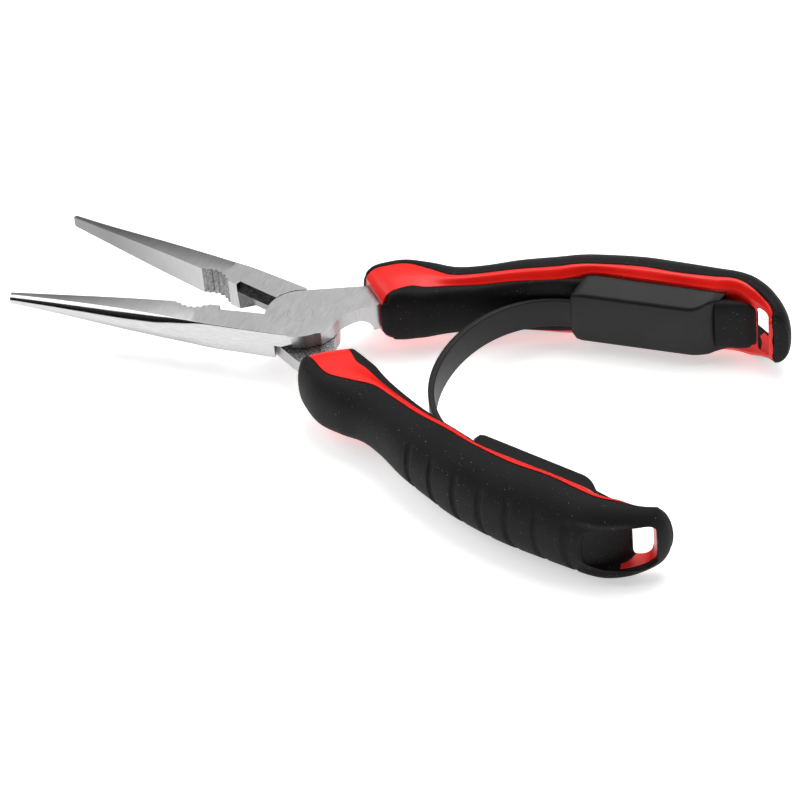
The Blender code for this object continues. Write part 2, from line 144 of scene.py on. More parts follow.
# Handle: outermost point, turn of the inward direction, depth and height of the red band's outer edge,
# the same for its inner edge, and the full depth
STATIONS = (
    (12.4, 15.4, -38.0, 2.5, 6.2, 12.6, 5.4, 13.6),
    (13.1, 17.2, -38.0, 3.2, 7.6, 13.2, 7.2, 15.4),
    (15.1, 19.4, -36.0, 4.3, 8.4, 13.9, 8.0, 16.8),
    (21.6, 22.5, -22.0, 4.9, 8.5, 13.4, 8.0, 17.6),
    (28.8, 23.2, -8.0, 6.5, 8.5, 12.7, 7.6, 16.4),
    (36.0, 22.8, 0.0, 7.6, 8.5, 10.6, 7.3, 13.8),
    (43.0, 24.2, 0.0, 7.8, 8.8, 10.4, 7.2, 13.0),
    (52.0, 27.3, 0.0, 8.9, 9.6, 11.5, 7.8, 13.4),
    (62.0, 29.4, 0.0, 9.6, 10.6, 12.2, 8.4, 13.4),
    (66.5, 30.2, 0.0, 9.5, 11.1, 11.9, 8.9, 14.0),
    (72.0, 30.8, 0.0, 9.4, 11.3, 11.2, 9.8, 14.4),
    (83.0, 31.2, 0.0, 9.5, 11.5, 12.3, 9.9, 18.0),
    (93.0, 30.5, 0.0, 9.9, 11.6, 12.2, 9.9, 18.0),
    (102.0, 29.3, 3.0, 8.8, 11.5, 11.6, 9.8, 17.3),
    (108.0, 28.2, 12.0, 7.9, 11.6, 10.2, 9.7, 16.6),
    (113.0, 26.3, 29.0, 7.6, 11.5, 9.6, 9.6, 14.6),
    (117.6, 22.4, 48.0, 6.8, 11.0, 8.6, 9.4, 9.6),
    (120.7, 17.9, 66.0, 5.4, 9.8, 6.8, 8.8, 8.0),
    (122.1, 14.2, 80.0, 4.5, 8.7, 5.7, 8.0, 7.0),
    (121.9, 11.2, 92.0, 4.0, 7.1, 5.1, 6.6, 6.4),
)
STATION_STEPS = 24       # rings from one station to the next
GRIP_WALL = 1.5          # thickness of the outer grip
GRIP_STEPS = 22          # facets from the outermost line to the red band
GRIP_POWER = 0.87        # below 1 the section is fuller than an ellipse
GRIP_END_RADIUS = 0.7
TAIL_TURNS = (82.0, 91.0)    # turns between which the grip becomes nearly solid
TAIL_WALL_REST = 0.3     # how far the nearly solid tail stops short of the red band
LIP = 0.35               # bevel of the grip's edge against the red band
LIP_DROP = 0.02          # how far the bevel's top lies below the grip's upper edge
CORE_GAP = 0.05          # between the grip's inside and the core
CORE_BACK_STEPS = 8      # facets from the core's outermost line to the red band
CORE_END_RADIUS = 1.2
BAND_STEPS = 8           # facets across the red band
BAND_BULGE = 0.16
BAND_SINK = 0.06         # how far the band lies below the grip's edge
TAIL_SINK = 0.6          # how much further it lies below it round the tail
TAIL_SINK_TURNS = (30.0, 66.0)
SEAM = 0.1               # between the grip's edge and the band
PAD_END = 70.5
PAD_HALF = 8.3
PAD_LEAD = 0.9           # how far the pad's front reaches ahead of the core's
PAD_POWER = 0.62
PAD_STEPS = 12
PAD_SEAT_GAP = 0.05
PAD_SIDE_GAP = 0.12      # how far the pad's edge lies below the band's inner edge
PAD_END_RADIUS = 2.0

# Finger grooves along the outer grip
GROOVES = 7
FIRST_GROOVE_X = 55.6
GROOVE_PITCH = 7.9
GROOVE_HALF = 0.45       # half width of a groove's floor
GROOVE_EDGE = 0.6        # width of its slanted wall
GROOVE_DEPTH = 0.6
GROOVE_BOW = 0.011       # how much a groove bows towards the tail, per height squared
GROOVE_BOW_Z = 2.0       # height at which it is furthest forward
GROOVE_FADE = (5.0, 8.2)     # heights between which it fades out

# Window: a scoop that ramps down from the grip's outer side and comes out on the inner one.
# Each row is a point outside the grip, the scoop's floor below it, and the half height there
SCOOP = (
    ((104.6, 32.0), (104.8, 29.8), 2.6),
    ((107.0, 31.5), (106.8, 26.8), 4.8),
    ((111.0, 30.5), (109.6, 23.4), 6.0),
    ((115.5, 27.5), (111.9, 20.2), 6.6),
    ((117.5, 26.0), (112.9, 18.2), 6.8),
    ((118.5, 25.0), (113.3, 16.5), 6.8),
    ((119.5, 24.0), (113.4, 12.6), 6.8),
)
SCOOP_STEPS = 5          # rings from one row to the next
SCOOP_CORNER = 1.4       # rounding between the scoop's floor and its walls
SCOOP_CORNER_STEPS = 6
WINDOW_REAR = ((123.9, 19.3), (116.3, 11.7))    # the window's rear wall, outside and inside
WINDOW_HALF = 6.8
WINDOW_CORNER = 2.4
WINDOW_CORNER_STEPS = 8
BLACK_WALL_RINGS = 17    # rings of the scoop whose side walls have the floor's black lining
RIM_DEPTH = 1.3          # how far the surface falls towards the rim of the scoop
RIM_HEIGHTS = (WINDOW_HALF - 0.5, WINDOW_HALF + 1.8)
RIM_START = (101.0, 110.0)
RIM_END = (116.0, 120.0)

# Stop block
BLOCK_START = 102.9
BLOCK_END = 113.5
BLOCK_HALF = 7.3
BLOCK_RISE = 0.2         # height of its middle above the mid plane
BLOCK_INNER_Y = 13.9
BLOCK_OUTER_Y = 18.0
BLOCK_INNER_DRIFT = 0.9  # how far its inner face nears the core towards the window
BLOCK_OUTER_DRIFT = 1.3  # how far its outer face follows the bend of the handle
BLOCK_POWER = 0.66       # below 1 the section is squarer than an ellipse
BLOCK_STEPS = 14
BLOCK_CORNERS = 40       # points round its section
BLOCK_END_RADIUS = 1.6

# Clip
CLIP_START = 66.3
CLIP_END = 103.6
CLIP_SLOPE = -0.057      # change of Y along X of the clip's inner face, closed
CLIP_FACE_Y = 13.5       # its inner face at CLIP_START
CLIP_FACE_HALF = 7.5
CLIP_FLAP_DEPTH = 6.4    # from the inner face out to the flap's edge
CLIP_FLAP_HALF = 9.4
CLIP_WALL = 0.9
CLIP_BACK_LENGTH = 5.5   # from the end of its hollow to its rear end
CLIP_HOLLOW_FACE_INSET = 1.5
CLIP_HOLLOW_FLAP_INSET = 1.6
CLIP_HOLLOW_CORNER = 0.6
CLIP_CORNER = 0.9        # rounding between its inner face and its slanted sides
CLIP_CORNER_STEPS = 6
CLIP_DROP = 0.4          # how far its middle lies below the mid plane
CLIP_STEPS = 30
CLIP_FRONT_ROLL = 0.8    # how far its inner face rolls back at each end
CLIP_REAR_ROLL = 4.2
CLIP_REAR_WIDENING = 0.36    # gain in the face's half height for each millimetre of roll
CLIP_FRONT_NARROWING = 1.6
CLIP_REAR_NARROWING = 1.1
CLIP_FRONT_SWEEP = 2.6   # how far the flaps' ends slant, front and rear
CLIP_REAR_SWEEP = 1.6

# Leaf
LEAF_APEX_THICKNESS = 1.8
LEAF_END_THICKNESS = 1.1
LEAF_TAIL_X = 96.0       # where the leaf ends inside the clip, closed
LEAF_TAIL_GAP = 0.3      # between the tail and the clip's wall
LEAF_HANDLES = (11.0, 17.0)  # lengths of the curve's handles at the clip's mouth and at the apex
LEAF_STEPS = 40
LEAF_ROUND = 0.4         # rounding of its edges
LEAF_ROUND_STEPS = 4
LEAF_DROP = 0.6          # how far its middle lies below the mid plane


# Meshes

def turned(point, degrees):
    """A point in plan, turned about the pivot."""
    angle = math.radians(degrees)
    x, y = point
    return (x * math.cos(angle) - y * math.sin(angle), x * math.sin(angle) + y * math.cos(angle))


def arc(centre, radius, start, end, steps):
    points = []
    for step in range(steps + 1):
        angle = math.radians(start + (end - start) * step / steps)
        points.append((centre[0] + radius * math.cos(angle), centre[1] + radius * math.sin(angle)))
    return points


def circle(radius, count):
    return arc((0.0, 0.0), radius, 0.0, 360.0 - 360.0 / count, count - 1)


def smooth_rows(rows, steps):
    """Rows of numbers on a Catmull-Rom curve through the given rows."""
    result = []
    for index in range(len(rows) - 1):
        before = rows[max(index - 1, 0)]
        start = rows[index]
        end = rows[index + 1]
        after = rows[min(index + 2, len(rows) - 1)]
        for step in range(steps):
            t = step / steps
            row = []
            for p0, p1, p2, p3 in zip(before, start, end, after):
                curve = 2 * p1 + (p2 - p0) * t + (2 * p0 - 5 * p1 + 4 * p2 - p3) * t * t
                curve += (3 * p1 - p0 - 3 * p2 + p3) * t * t * t
                row.append(curve / 2)
            result.append(tuple(row))
    result.append(tuple(rows[-1]))
    return result


def smooth_step(low, high, value):
    """Rises smoothly from 0 at the low value to 1 at the high one."""
    t = min(max((value - low) / (high - low), 0.0), 1.0)
    return t * t * (3 - 2 * t)


def add_object(name, data):
    item = bpy.data.objects.new(name, data)
    bpy.context.scene.collection.objects.link(item)
    return item


def loft(name, rings, materials, slot_of=None):
    """A closed solid through rings of points; slot_of gives the material number of a side face."""
    shape = bmesh.new()
    rows = []
    for ring in rings:
        rows.append([shape.verts.new(Vector(point) * MM) for point in ring])
    count = len(rings[0])
    for number, (low, high) in enumerate(zip(rows, rows[1:])):
        for index in range(count):
            after = (index + 1) % count
            face = shape.faces.new((low[index], low[after], high[after], high[index]))
            if slot_of:
                face.material_index = slot_of(number, index)
    shape.faces.new(reversed(rows[0]))
    shape.faces.new(rows[-1])
    bmesh.ops.recalc_face_normals(shape, faces=shape.faces)
    mesh = bpy.data.meshes.new(name)
    shape.to_mesh(mesh)
    shape.free()
    for material in materials:
        mesh.materials.append(material)
    return add_object(name, mesh)


def plate(name, outline, low, high, material):
    """A plan outline, solid from one height to another."""
    rings = [[(x, y, z) for x, y in outline] for z in (low, high)]
    return loft(name, rings, [material])


def cut(target, tool, operation="DIFFERENCE"):
    """Applies a Boolean and removes the tool; the cut faces keep the tool's material."""
    modifier = target.modifiers.new("cut", "BOOLEAN")
    modifier.operation = operation
    modifier.solver = "EXACT"
    modifier.material_mode = "TRANSFER"
    modifier.object = tool
    graph = bpy.context.evaluated_depsgraph_get()
    mesh = bpy.data.meshes.new_from_object(target.evaluated_get(graph))
    target.modifiers.clear()
    target.data = mesh
    bpy.data.objects.remove(tool)


def smooth(item, degrees):
    item.data.shade_smooth()
    item.data.set_sharp_from_angle(angle=math.radians(degrees))


def place(item, side):
    """Turns a piece drawn closed to the open pose and lets it ride on its half."""
    lift = Matrix.Translation((0.0, 0.0, JOINT_HALF * MM))
    item.data.transform(lift @ Matrix.Rotation(math.radians(side * OPEN_TURN), 4, "Z"))
    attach(item, "far_side" if side > 0 else "near_side")


# Materials

NOISE_RANGE = (0.3, 0.7)


class Nodes:
    """A small helper that adds and links shader nodes."""

    def __init__(self, name):
        self.material = bpy.data.materials.new(name)
        self.material.use_nodes = True
        self.tree = self.material.node_tree
        self.shader = self.tree.nodes["Principled BSDF"]

    def add(self, kind, **values):
        node = self.tree.nodes.new(kind)
        for key, value in values.items():
            if key in node.inputs:
                node.inputs[key].default_value = value
            else:
                setattr(node, key, value)
        return node

    def link(self, source, target):
        self.tree.links.new(source, target)

    def place(self, stretch=(1.0, 1.0, 1.0)):
        """Object coordinates in millimetres, stretched."""
        coordinates = self.add("ShaderNodeTexCoord")
        mapping = self.add("ShaderNodeMapping")
        mapping.inputs["Scale"].default_value = [1000.0 * value for value in stretch]
        self.link(coordinates.outputs["Object"], mapping.inputs["Vector"])
        return mapping.outputs["Vector"]

    def painted_tip_shade(self, start_x, end_x, most):
        """A mask for painted shade: grows from nothing to the most between two places along the jaws."""
        coordinates = self.add("ShaderNodeTexCoord")
        split = self.add("ShaderNodeSeparateXYZ")
        self.link(coordinates.outputs["Object"], split.inputs["Vector"])
        node = self.add("ShaderNodeMapRange")
        node.inputs["From Min"].default_value = start_x * MM
        node.inputs["From Max"].default_value = end_x * MM
        node.inputs["To Max"].default_value = most
        self.link(split.outputs["X"], node.inputs["Value"])
        return node.outputs["Result"]

    def noise(self, vector, scale, detail=2.0, roughness=0.5):
        node = self.add("ShaderNodeTexNoise", Scale=scale, Detail=detail, Roughness=roughness)
        self.link(vector, node.inputs["Vector"])
        return node.outputs["Fac"]

    def ramp(self, value, stops):
        node = self.add("ShaderNodeValToRGB")
        elements = node.color_ramp.elements
        while len(elements) < len(stops):
            elements.new(0.5)
        for element, (position, colour) in zip(elements, stops):
            element.position = position
            element.color = (*colour, 1.0)
        self.link(value, node.inputs["Fac"])
        return node.outputs["Color"]

    def spread(self, value, low, high):
        """Maps a noise value, which mostly lies in NOISE_RANGE, to the range from low to high."""
        node = self.add("ShaderNodeMapRange")
        node.inputs["From Min"].default_value = NOISE_RANGE[0]
        node.inputs["From Max"].default_value = NOISE_RANGE[1]
        node.inputs["To Min"].default_value = low
        node.inputs["To Max"].default_value = high
        self.link(value, node.inputs["Value"])
        return node.outputs["Result"]

    def mix(self, factor, a, b):
        node = self.add("ShaderNodeMix", data_type="RGBA")
        self.link(factor, node.inputs["Factor"])
        for socket, colour in ((node.inputs[6], a), (node.inputs[7], b)):
            if hasattr(colour, "is_output"):
                self.link(colour, socket)
            else:
                socket.default_value = (*colour, 1.0)
        return node.outputs[2]

    def bumps(self, layers, edge_radius=0.0):
        """Chains (height, distance in mm, strength) bumps, over rounded edges."""
        normal = None
        if edge_radius:
            bevel = self.add("ShaderNodeBevel", samples=6, Radius=edge_radius * MM)
            normal = bevel.outputs["Normal"]
        for height, distance, strength in layers:
            bump = self.add("ShaderNodeBump", Strength=strength, Distance=distance * MM)
            self.link(height, bump.inputs["Height"])
            if normal:
                self.link(normal, bump.inputs["Normal"])
            normal = bump.outputs["Normal"]
        self.link(normal, self.shader.inputs["Normal"])


def grey(value):
    return (value, value, value * 1.01)


def satin_steel():
    """Ground steel: a fine grain that reads as vertical lines on the side faces, with painted shade that
    darkens it towards the tips.
    """
    shade = 0.52
    nodes = Nodes("satin_steel")
    nodes.shader.inputs["Metallic"].default_value = 1.0
    fine = nodes.noise(nodes.place((1.0, 0.12, 0.06)), 3.2, 4.0, 0.6)
    cloud = nodes.noise(nodes.place(), 0.16, 4.0, 0.6)
    base = nodes.mix(nodes.spread(fine, 0.0, 1.0), grey(shade * 0.87), grey(shade * 1.07))
    clouded = nodes.mix(nodes.spread(cloud, 0.0, 0.4), base, grey(shade * 0.8))
    # painted shade: the jaws darken towards the tips, in place of the darker reflection of their sloping faces
    colour = nodes.mix(nodes.painted_tip_shade(-30.0, -62.0, 0.8), clouded, grey(shade * 0.30))
    nodes.link(colour, nodes.shader.inputs["Base Color"])
    nodes.link(nodes.spread(fine, 0.30, 0.42), nodes.shader.inputs["Roughness"])
    nodes.bumps([(fine, 0.012, 0.5)], 0.10)
    return nodes.material


def polished_steel():
    """The buffed back of the jaws, with faint streaks along them."""
    nodes = Nodes("polished_steel")
    nodes.shader.inputs["Metallic"].default_value = 1.0
    streaks = nodes.noise(nodes.place((0.05, 1.0, 1.0)), 2.5, 3.0)
    colour = nodes.mix(nodes.spread(streaks, 0.0, 1.0), grey(0.47), grey(0.54))
    nodes.link(colour, nodes.shader.inputs["Base Color"])
    nodes.link(nodes.spread(streaks, 0.09, 0.15), nodes.shader.inputs["Roughness"])
    nodes.bumps([(streaks, 0.006, 0.25)], 0.15)
    return nodes.material


def scratched_steel(name, shade, rough, stretch):
    """Cut faces: coarse scratches with dark oil in them."""
    nodes = Nodes(name)
    nodes.shader.inputs["Metallic"].default_value = 1.0
    scratches = nodes.noise(nodes.place(stretch), 3.0, 5.0, 0.65)
    blots = nodes.noise(nodes.place(), 0.6, 4.0)
    base = nodes.mix(nodes.spread(scratches, 0.0, 1.0), grey(shade * 0.35), grey(min(shade * 1.3, 0.8)))
    colour = nodes.mix(nodes.spread(blots, 0.0, 0.6), base, grey(shade * 0.4))
    nodes.link(colour, nodes.shader.inputs["Base Color"])
    nodes.link(nodes.spread(scratches, rough - 0.08, rough + 0.1), nodes.shader.inputs["Roughness"])
    nodes.bumps([(scratches, 0.05, 0.5)], 0.12)
    return nodes.material


def red_plastic():
    """Hard glossy red with a slight orange peel."""
    nodes = Nodes("red_band")
    cloud = nodes.noise(nodes.place(), 0.08, 2.0)
    fine = nodes.noise(nodes.place(), 5.0, 2.0)
    colour = nodes.mix(nodes.spread(cloud, 0.0, 1.0), (0.86, 0.010, 0.006), (0.94, 0.014, 0.008))
    nodes.shader.inputs["Specular IOR Level"].default_value = 0.35
    nodes.link(colour, nodes.shader.inputs["Base Color"])
    nodes.link(nodes.spread(fine, 0.30, 0.40), nodes.shader.inputs["Roughness"])
    nodes.bumps([(fine, 0.01, 0.3)], 0.35)
    return nodes.material


def soft_black():
    """Rubbery overmould: fine spark-eroded grain with specks of dust."""
    nodes = Nodes("soft_overmould")
    grain = nodes.noise(nodes.place(), 5.5, 4.0, 0.6)
    specks = nodes.noise(nodes.place(), 2.2, 2.0)
    cloud = nodes.noise(nodes.place(), 0.06, 3.0)
    dust = nodes.ramp(specks, [(0.715, (0.0, 0.0, 0.0)), (0.745, (1.0, 1.0, 1.0))])
    base = nodes.mix(nodes.spread(grain, 0.0, 1.0), grey(0.006), grey(0.014))
    wear = nodes.mix(nodes.spread(cloud, 0.0, 0.5), base, grey(0.018))
    colour = nodes.mix(dust, wear, grey(0.16))
    nodes.shader.inputs["Specular IOR Level"].default_value = 0.13
    nodes.link(colour, nodes.shader.inputs["Base Color"])
    nodes.link(nodes.spread(grain, 0.55, 0.72), nodes.shader.inputs["Roughness"])
    nodes.bumps([(grain, 0.05, 0.6)], 0.3)
    return nodes.material


def satin_black(name, edge):
    """Moulded nylon: smoother than the grips, with a soft sheen."""
    nodes = Nodes(name)
    fine = nodes.noise(nodes.place(), 7.0, 3.0)
    cloud = nodes.noise(nodes.place(), 0.1, 2.0)
    base = nodes.mix(nodes.spread(cloud, 0.0, 1.0), grey(0.008), grey(0.013))
    nodes.shader.inputs["Specular IOR Level"].default_value = 0.26
    nodes.link(base, nodes.shader.inputs["Base Color"])
    nodes.link(nodes.spread(fine, 0.42, 0.52), nodes.shader.inputs["Roughness"])
    nodes.bumps([(fine, 0.015, 0.35)], edge)
    return nodes.material


# Steel halves

def jaw_ring(station, side):
    """A gripping face, a milled flat above and below, and a back on part of an ellipse.

    The span of the ellipse makes the back leave the flats at the same slope all along the jaw.
    """
    reach, flat, width, half = station
    half = min(half, JOINT_HALF)
    section = [(0.0, -half), (0.0, half)]
    steepness = math.tan(math.radians(JAW_BACK_SLOPE)) * half / (width - flat)
    span = 2 * math.atan(math.sqrt(max(1 - 2 / steepness, 0.2)))
    for step in range(2 * JAW_BACK_STEPS + 1):
        angle = span - span * step / JAW_BACK_STEPS
        bow = (math.cos(angle) - math.cos(span)) / (1 - math.cos(span))
        section.append((flat + (width - flat) * bow, half * math.sin(angle) / math.sin(span)))
    return [(-reach, -side * away, height) for away, height in section]


def jaw_blank(name, side, materials):
    """The jaw; its round back is the second material and its flat faces are the first."""
    stations = smooth_rows(JAW_STATIONS, JAW_STEPS)
    rings = [jaw_ring(station, side) for station in stations]
    first_back = 2

    def slot_of(ring, index):
        return 1 if first_back <= index < first_back + 2 * JAW_BACK_STEPS else 0

    return loft(name, rings, materials, slot_of)


def grip_outline(side):
    """The pipe grip's arc with its teeth, closed beyond the closing line."""
    half_chord = (GRIP_START - GRIP_END) / 2
    radius = (half_chord ** 2 + GRIP_DEPTH ** 2) / (2 * GRIP_DEPTH)
    middle = (GRIP_START + GRIP_END) / 2
    spread = math.asin(half_chord / radius)
    points = []
    for step in range(2 * GRIP_TEETH + 1):
        angle = -spread + 2 * spread * step / (2 * GRIP_TEETH)
        depth = radius * math.cos(angle) - (radius - GRIP_DEPTH)
        if step % 2 == 0 and 0 < step < 2 * GRIP_TEETH:
            depth -= TOOTH_DEPTH
        points.append((-(middle - radius * math.sin(angle)), -side * depth))
    points.append((-GRIP_END, side))
    points.append((-GRIP_START, side))
    return points


def cutter_rings(side):
    """The space beside the cutting edge: a small bevel above it and a deep one below it."""
    over = 0.5
    rings = []
    for reach, bottom in (
        (CUTTER_START, CUTTER_START_DEPTH),
        (CUTTER_START - CUTTER_RUN_OUT, CUTTER_RELIEF_BOTTOM),
        (0.0, CUTTER_RELIEF_BOTTOM),
    ):
        slope_up = (CUTTER_RELIEF_TOP - CUTTER_EDGE_DEPTH) / (JOINT_HALF - CUTTER_EDGE_Z)
        slope_down = (bottom - CUTTER_EDGE_DEPTH) / (JOINT_HALF + CUTTER_EDGE_Z)
        section = (
            (-BEYOND, JOINT_HALF + over),
            (CUTTER_RELIEF_TOP + slope_up * over, JOINT_HALF + over),
            (CUTTER_EDGE_DEPTH, CUTTER_EDGE_Z),
            (bottom + slope_down * over, -JOINT_HALF - over),
            (-BEYOND, -JOINT_HALF - over),
        )
        rings.append([(-reach, -side * away, height) for away, height in section])
    return rings


def shank_outline(side):
    """The tang, the neck and the round lap in plan."""
    start = math.degrees(math.atan2(SHANK_OUTER[0][1], SHANK_OUTER[0][0]))
    last = math.degrees(math.atan2(SHANK_INNER[-1][1], SHANK_INNER[-1][0]))
    disc = arc((0.0, 0.0), LAP_RADIUS, last - 8.0, start - 360.0 + 2.0, 60)
    neck = smooth_rows(SHANK_INNER[TANG_POINTS:], NECK_STEPS)
    points = list(SHANK_OUTER) + list(SHANK_INNER[:TANG_POINTS]) + neck + disc
    return [(x, side * y) for x, y in points]


def under_lap_rings(side):
    """The space for the other half's lap, which ends in the arch under the shank."""
    reach = 25.0
    top = LAP_CLEARANCE
    profile = [(STEP_X, -JOINT_HALF - BEYOND), (STEP_X, top)]
    profile += [(x, z - JOINT_HALF + top) for x, z in arc((ARCH_X, 0.0), ARCH_RADIUS, 90.0, 0.0, 16)]
    profile.append((ARCH_X + ARCH_RADIUS, -JOINT_HALF - BEYOND))
    return [[(x, y, side * z) for x, z in profile] for y in (-reach, reach)]


def round_plate(name, radius, low, high, material):
    return plate(name, circle(radius, 120), low, high, material)


def steel_half(label, side, steel):
    """The jaw, cut for the cutter and the pipe grip, with the shank added and the joint cut out."""
    half = jaw_blank(f"{label}_steel", side, [steel["satin"], steel["polished"]])
    cut(half, loft("cutter_space", cutter_rings(side), [steel["cutter"]]))
    cut(half, plate("pipe_grip", grip_outline(side), -THROUGH, THROUGH, steel["broached"]))
    cut(half, plate("shank", shank_outline(side), -JOINT_HALF, JOINT_HALF, steel["satin"]), "UNION")
    cut(half, loft("under_lap", under_lap_rings(side), [steel["lap"]]))
    low, high = sorted((-side * (JOINT_HALF + BEYOND), side * LAP_CLEARANCE))
    cut(half, round_plate("seat", SEAT_RADIUS, low, high, steel["lap"]))
    cut(half, round_plate("rivet_hole", RIVET_HOLE, -THROUGH, THROUGH, steel["lap"]))
    smooth(half, 28)
    place(half, side)
    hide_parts(f"{label}_half")


# Handles

def station_rows(last=math.inf):
    """Smooth rows between the handle's stations, as far back as the last X."""
    rows = smooth_rows(STATIONS, STATION_STEPS)
    return [row for row in rows if row[0] <= last]


def ring_at(row, section, side):
    """Turns a section of depths and heights into points at a station of the handle."""
    angle = math.radians(row[2])
    inward = (-math.sin(angle), -math.cos(angle))
    ring = []
    for depth, height in section:
        ring.append((row[0] + depth * inward[0], side * (row[1] + depth * inward[1]), height))
    return ring


def rounded_end(rings, radius, steps, wall):
    """Rounds the first edge with rings that shrink on a quarter circle; wall is as in rounded_ends."""
    points = [Vector(point) for point in rings[0]]
    heading = sum((a - Vector(b) for a, b in zip(points, rings[1])), Vector()).normalized()
    centre = sum(points, Vector()) / len(points)
    result = []
    for step in range(steps, -1, -1):
        angle = math.pi / 2 * step / steps
        inset = radius * (1 - math.cos(angle))
        ring = []
        for index, point in enumerate(points):
            middle = centre if wall is None else (point + points[wall(index)]) / 2
            away = point - middle
            scale = max(1 - inset / max(away.length, radius * 1.02), 0.02)
            ring.append(tuple(middle + away * scale - heading * radius * (1 - math.sin(angle))))
        result.append(ring)
    for ring in rings[1:]:
        nearest = min((a - Vector(b)).dot(heading) for a, b in zip(points, ring))
        if nearest > radius * 1.1:
            result.append(ring)
    return result


def rounded_ends(rings, radius, steps=4, ends=(True, True), wall=None):
    """Rounds the first and last edges; wall pairs up the points of a shell so that only it thins."""
    if ends[0]:
        rings = rounded_end(rings, radius, steps, wall)
    if ends[1]:
        rings = rounded_end(rings[::-1], radius, steps, wall)[::-1]
    return rings


def half_round(depth, half, start_depth, steps):
    """From the upper edge round the outermost line to the lower edge, on a superellipse."""
    points = []
    for step in range(2 * steps + 1):
        angle = math.pi / 2 - math.pi / 2 * step / steps
        across = max(math.cos(angle), 0.0) ** GRIP_POWER
        along = math.copysign(abs(math.sin(angle)) ** GRIP_POWER, math.sin(angle))
        points.append((start_depth + depth * (1 - across), half * along))
    return points


def groove_depth(x, height):
    """Finger channels, slightly bowed, that fade out below the grip's upper edge."""
    fade = 1 - smooth_step(*GROOVE_FADE, height)
    depth = 0.0
    for number in range(GROOVES):
        bow = GROOVE_BOW * (height - GROOVE_BOW_Z) ** 2
        offset = abs(x - FIRST_GROOVE_X - number * GROOVE_PITCH - bow)
        depth += GROOVE_DEPTH * (1 - smooth_step(GROOVE_HALF, GROOVE_HALF + GROOVE_EDGE, offset))
    return depth * fade


def rim_depth(x, height):
    """A soft fall of the surface towards the rim of the scoop."""
    across = 1 - smooth_step(*RIM_HEIGHTS, abs(height))
    along = smooth_step(*RIM_START, x) * (1 - smooth_step(*RIM_END, x))
    return RIM_DEPTH * along * across


def shell_wall(row):
    """The overmould is a shell along the handle and nearly solid round the tail."""
    return GRIP_WALL + (row[3] - TAIL_WALL_REST - GRIP_WALL) * smooth_step(*TAIL_TURNS, row[2])


def grip_ring(row, side):
    """A C-shaped section: the grooved outside, the lip at the red band and the inside."""
    edge, edge_half = row[3], row[4]
    wall = shell_wall(row)
    outer = []
    for depth, height in half_round(edge, edge_half, 0.0, GRIP_STEPS):
        facing = 1 - min(depth / edge, 1.0)
        hollow = groove_depth(row[0], height) + rim_depth(row[0], height)
        outer.append((depth + hollow * facing ** 0.5, height))
    outer[0] = (edge - LIP, edge_half - LIP_DROP)
    outer[-1] = (edge - LIP, LIP_DROP - edge_half)
    inner = half_round(edge - wall, edge_half - GRIP_WALL, wall, GRIP_STEPS)
    lip = [(edge, edge_half - LIP), (edge, edge_half - GRIP_WALL)]
    low_lip = [(depth, -height) for depth, height in lip]
    section = outer + low_lip + inner[-2:0:-1] + lip[::-1]
    return ring_at(row, section, side)


def outer_grip(label, side, material):
    rings = [grip_ring(row, side) for row in station_rows()]
    count = len(rings[0])
    outer_count = 2 * GRIP_STEPS + 1

    def opposite(index):
        return (outer_count - 1 - index) % count

    rings = rounded_ends(rings, GRIP_END_RADIUS, wall=opposite)
    grip = loft(f"{label}_grip_skin", rings, [material])
    cut(grip, window_tool(side, material, material))
    smooth(grip, 38)
    place(grip, side)
    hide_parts(f"{label}_outer_grip")


def core_ring(row, side):
    """The core's section: the band above, the back under the grip, and the band below."""
    edge, edge_half, seat, seat_half = row[3], row[4], row[5], row[6]
    wall = shell_wall(row)
    back = half_round(edge - wall, edge_half - GRIP_WALL, wall + CORE_GAP, CORE_BACK_STEPS)
    crest = edge + SEAM
    width = seat - crest
    drop = edge_half - seat_half
    sink = BAND_SINK + TAIL_SINK * smooth_step(*TAIL_SINK_TURNS, row[2])
    upper = [(crest, edge_half - GRIP_WALL), (crest, edge_half - LIP)]
    for step in range(BAND_STEPS + 1):
        t = step / BAND_STEPS
        sag = drop * (0.35 * t + 0.65 * smooth_step(0.35, 1.0, t))
        bulge = BAND_BULGE * math.sin(math.pi * t) * min(width, 3.0) / 3.0
        upper.append((crest + width * t, edge_half - sag + bulge - sink))
    lower = [(depth, -height) for depth, height in upper]
    return ring_at(row, upper[::-1] + back + lower, side)


def handle_core(label, side, material, lining):
    """The red core; its skin under the grip and the scoop's ramp are the lining material, and so are its two
    walls at the seam by the grip's lip, black there as painted shade.
    """
    rings = [core_ring(row, side) for row in station_rows()]
    rings = rounded_ends(rings, CORE_END_RADIUS, steps=5, ends=(False, True))
    upper_seam_shade_face = BAND_STEPS + 1
    lower_seam_shade_face = len(rings[0]) - BAND_STEPS - 3

    # lined from the upper to the lower seam wall; the black on the two seam walls is painted shade in the seam
    def slot_of(ring, index):
        return 1 if upper_seam_shade_face <= index <= lower_seam_shade_face else 0

    core = loft(f"{label}_red_core", rings, [material, lining], slot_of)
    cut(core, tang_space(side, material))
    cut(core, window_tool(side, lining, material))
    smooth(core, 38)
    place(core, side)
    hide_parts(f"{label}_handle_core")


def tang_space(side, material):
    """The space in the core that holds the tang."""
    outer = [(x, y + TANG_GAP) for x, y in SHANK_OUTER[1:]]
    inner = [(x, y - TANG_GAP) for x, y in SHANK_INNER[:CORE_TANG_POINTS]]
    outer[-1] = (outer[-1][0] + TANG_GAP, outer[-1][1])
    inner[0] = (inner[0][0] + TANG_GAP, inner[0][1])
    points = [(x, side * y) for x, y in outer + inner + list(TANG_FRONT)]
    half = JOINT_HALF + TANG_GAP
    return plate("tang_space", points, -half, half, material)


def scoop_rows():
    """The scoop's rows with its floor and edges on smooth curves."""
    flat = [(*outer, *floor, half) for outer, floor, half in SCOOP]
    return [(Vector(row[:2]), Vector(row[2:4]), row[4]) for row in smooth_rows(flat, SCOOP_STEPS)]


